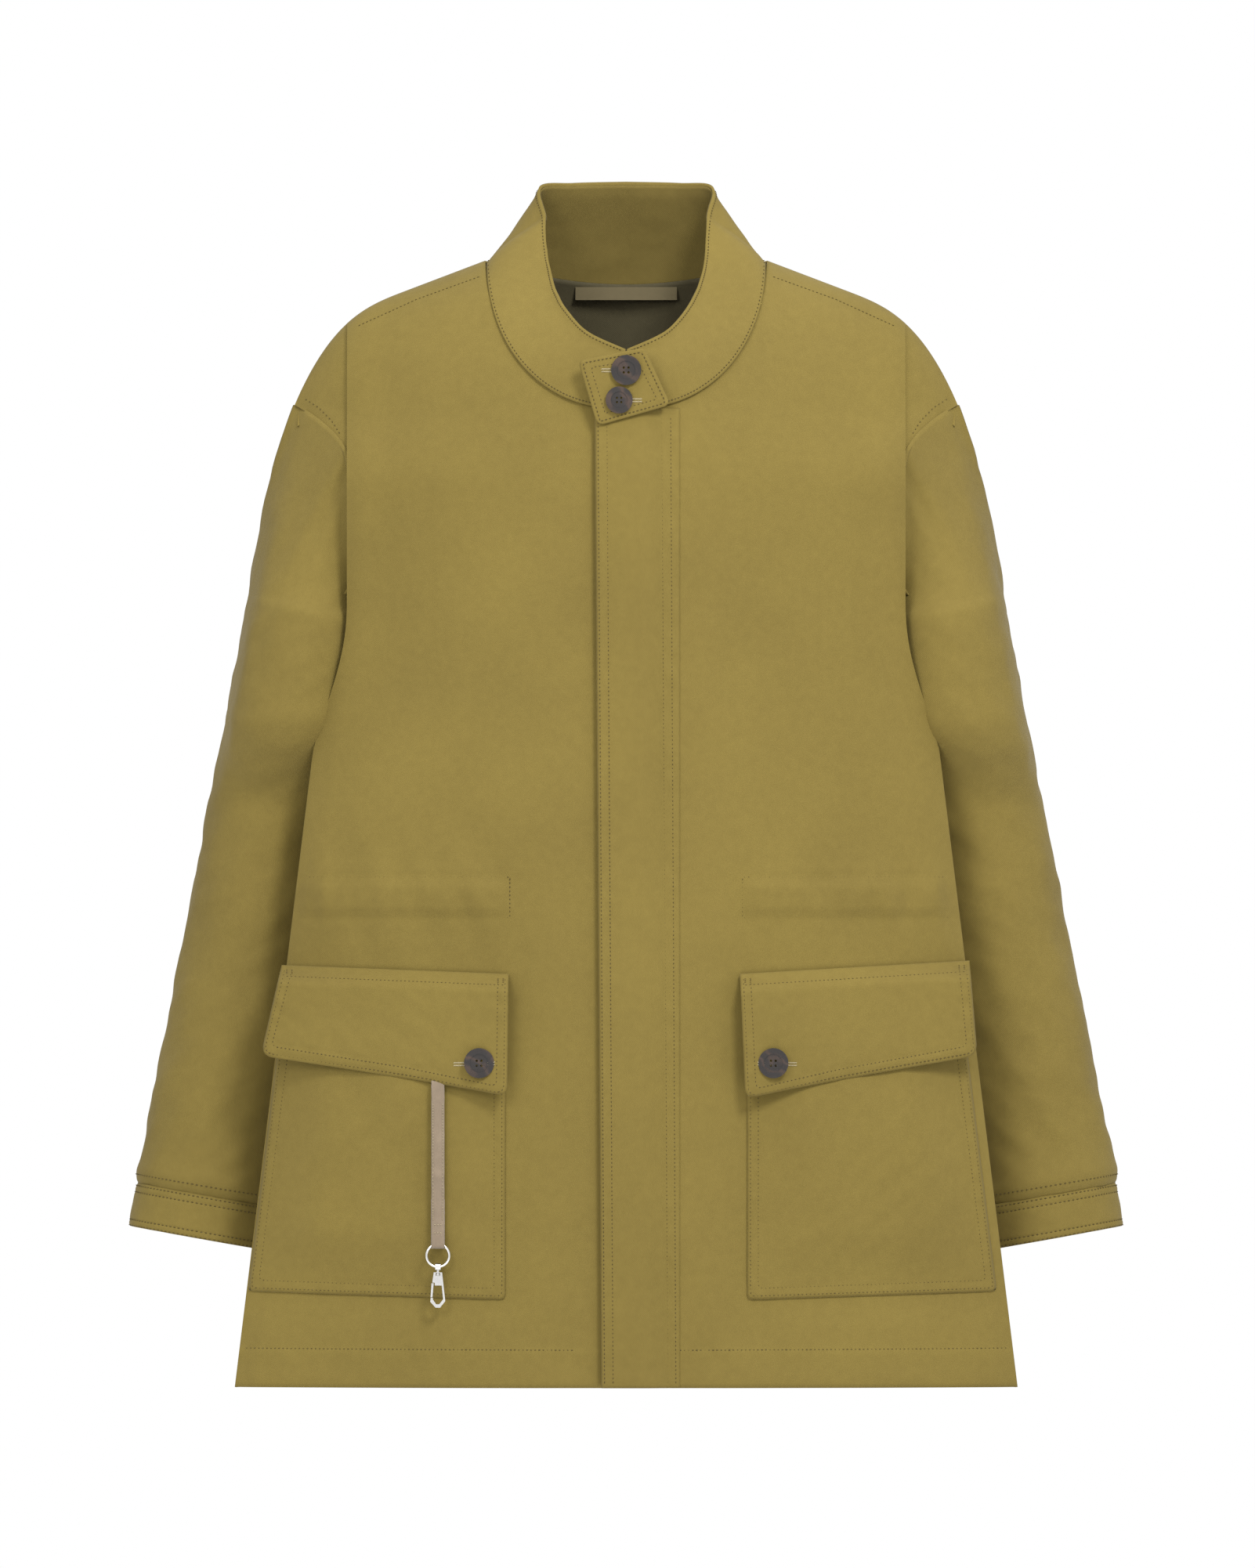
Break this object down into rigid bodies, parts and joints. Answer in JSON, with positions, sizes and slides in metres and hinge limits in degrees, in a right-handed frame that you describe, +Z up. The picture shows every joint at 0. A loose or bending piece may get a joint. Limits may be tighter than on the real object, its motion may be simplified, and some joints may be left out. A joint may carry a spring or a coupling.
{
  "type": "field coat",
  "caption": "Hip-length cotton coat with stand collar, throat tab, zip under a fly front, flap patch pockets, cuffed sleeves and a strap with a snap hook.",
  "frame": {"origin": "middle of the hanger loop at the back of the neck, from which the coat hangs", "axes": "+Z up; the front faces -Y; +X is the wearer's left"},
  "size_m": [0.7604, 0.2214, 0.9252],
  "materials": {
    "shell": "matt cotton",
    "lining": "smooth woven lining",
    "tape": "zip tape",
    "elastic": "knitted elastic",
    "webbing": "suede",
    "button": "horn effect",
    "thread": "sewing thread",
    "metal": "nickel plate",
    "zip_metal": "antique"
  },
  "bodies": {
    "coat": {"back_panel": "shell", "back_lining": "lining", "left_upper_front": "shell", "right_upper_front": "shell", "left_upper_lining": "lining", "right_upper_lining": "lining", "collar": "shell", "collar_facing": "lining", "hanger_loop": "shell", "collar_buttons": "button", "collar_button_threads": "thread", "back_waist_casing": "shell", "back_waist_elastic": "elastic"},
    "collar_tab": {"collar_tab": "shell"},
    "left_front": {"left_front": "shell", "left_front_lining": "lining", "fly": "shell", "left_zip_tape": "tape", "left_zip_teeth": "zip_metal", "zip_pin": "zip_metal", "left_pocket": "shell", "left_pocket_button": "button", "left_waist_casing": "shell", "left_waist_elastic": "elastic"},
    "right_front": {"right_front": "shell", "right_front_lining": "lining", "right_zip_tape": "tape", "right_zip_teeth": "zip_metal", "zip_box": "zip_metal", "right_pocket": "shell", "right_pocket_button": "button", "right_waist_casing": "shell", "right_waist_elastic": "elastic", "strap_anchor": "webbing"},
    "zip_slider": {"zip_slider": "zip_metal", "zip_pull": "zip_metal"},
    "left_flap": {"left_flap": "shell"},
    "right_flap": {"right_flap": "shell"},
    "left_sleeve": {"left_sleeve": "shell", "left_sleeve_lining": "lining", "left_cuff": "shell"},
    "right_sleeve": {"right_sleeve": "shell", "right_sleeve_lining": "lining", "right_cuff": "shell"},
    "key_strap": {"key_strap": "webbing"},
    "key_ring": {"key_ring": "metal"},
    "hook_swivel": {"hook_swivel": "metal"},
    "snap_hook": {"hook_body": "metal", "gate_pin": "metal", "gate_spring": "metal"},
    "hook_gate": {"hook_gate": "metal"}
  },
  "joints": [
    {"name": "front_open", "type": "hinge", "parent": "coat", "child": "left_front", "pos_m": [0.257, -0.087, -0.496], "axis": [-0.1219, 0, 0.9925], "range_deg": [0, 45]},
    {"name": "right_front_open", "type": "hinge", "parent": "coat", "child": "right_front", "pos_m": [-0.257, -0.087, -0.496], "axis": [0.1219, 0, 0.9925], "range_deg": [-45, 0]},
    {"name": "zip_slide", "type": "slide", "parent": "right_front", "child": "zip_slider", "axis": [0, -0.0157, 0.9999], "range_m": [-0.66, 0]},
    {"name": "left_flap_lift", "type": "hinge", "parent": "left_front", "child": "left_flap", "pos_m": [0.088, -0.16177, -0.528], "axis": [-0.964, -0.2623, -0.0443], "range_deg": [0, 150]},
    {"name": "right_flap_lift", "type": "hinge", "parent": "right_front", "child": "right_flap", "pos_m": [-0.088, -0.16177, -0.528], "axis": [-0.964, 0.2623, 0.0443], "range_deg": [0, 150]},
    {"name": "tab_open", "type": "hinge", "parent": "coat", "child": "collar_tab", "pos_m": [0.034, -0.1653, -0.094], "axis": [-0.4138, 0, 0.9104], "range_deg": [0, 100]},
    {"name": "left_sleeve_lift", "type": "hinge", "parent": "coat", "child": "left_sleeve", "pos_m": [0.256, -0.054, -0.092], "axis": [0, -1, 0], "range_deg": [0, 60]},
    {"name": "right_sleeve_lift", "type": "hinge", "parent": "coat", "child": "right_sleeve", "pos_m": [-0.256, -0.054, -0.092], "axis": [0, 1, 0], "range_deg": [0, 60]},
    {"name": "strap_swing", "type": "hinge", "parent": "right_front", "child": "key_strap", "pos_m": [-0.144, -0.14751, -0.615], "axis": [-1, 0, 0], "range_deg": [0, 80]},
    {"name": "ring_swing", "type": "hinge", "parent": "key_strap", "child": "key_ring", "pos_m": [-0.144, -0.14751, -0.736], "axis": [-1, 0, 0], "range_deg": [0, 25]},
    {"name": "swivel_swing", "type": "hinge", "parent": "key_ring", "child": "hook_swivel", "pos_m": [-0.144, -0.14751, -0.7534], "axis": [-1, 0, 0], "range_deg": [0, 60]},
    {"name": "hook_turn", "type": "hinge", "parent": "hook_swivel", "child": "snap_hook", "pos_m": [-0.144, -0.14751, -0.7576], "axis": [0, 0, 1], "continuous": true},
    {"name": "gate_open", "type": "hinge", "parent": "snap_hook", "child": "hook_gate", "pos_m": [-0.1479, -0.14751, -0.7668], "axis": [0, -1, 0], "range_deg": [0, 25], "stiffness_Nm_per_rad": 0.004, "springref_deg": -11.46}
  ],
  "couplings": [
    {"joint": "right_front_open", "follows": "front_open", "ratio": -1},
    {"joint": "zip_slide", "follows": "front_open", "m_per_rad": -0.82}
  ]
}
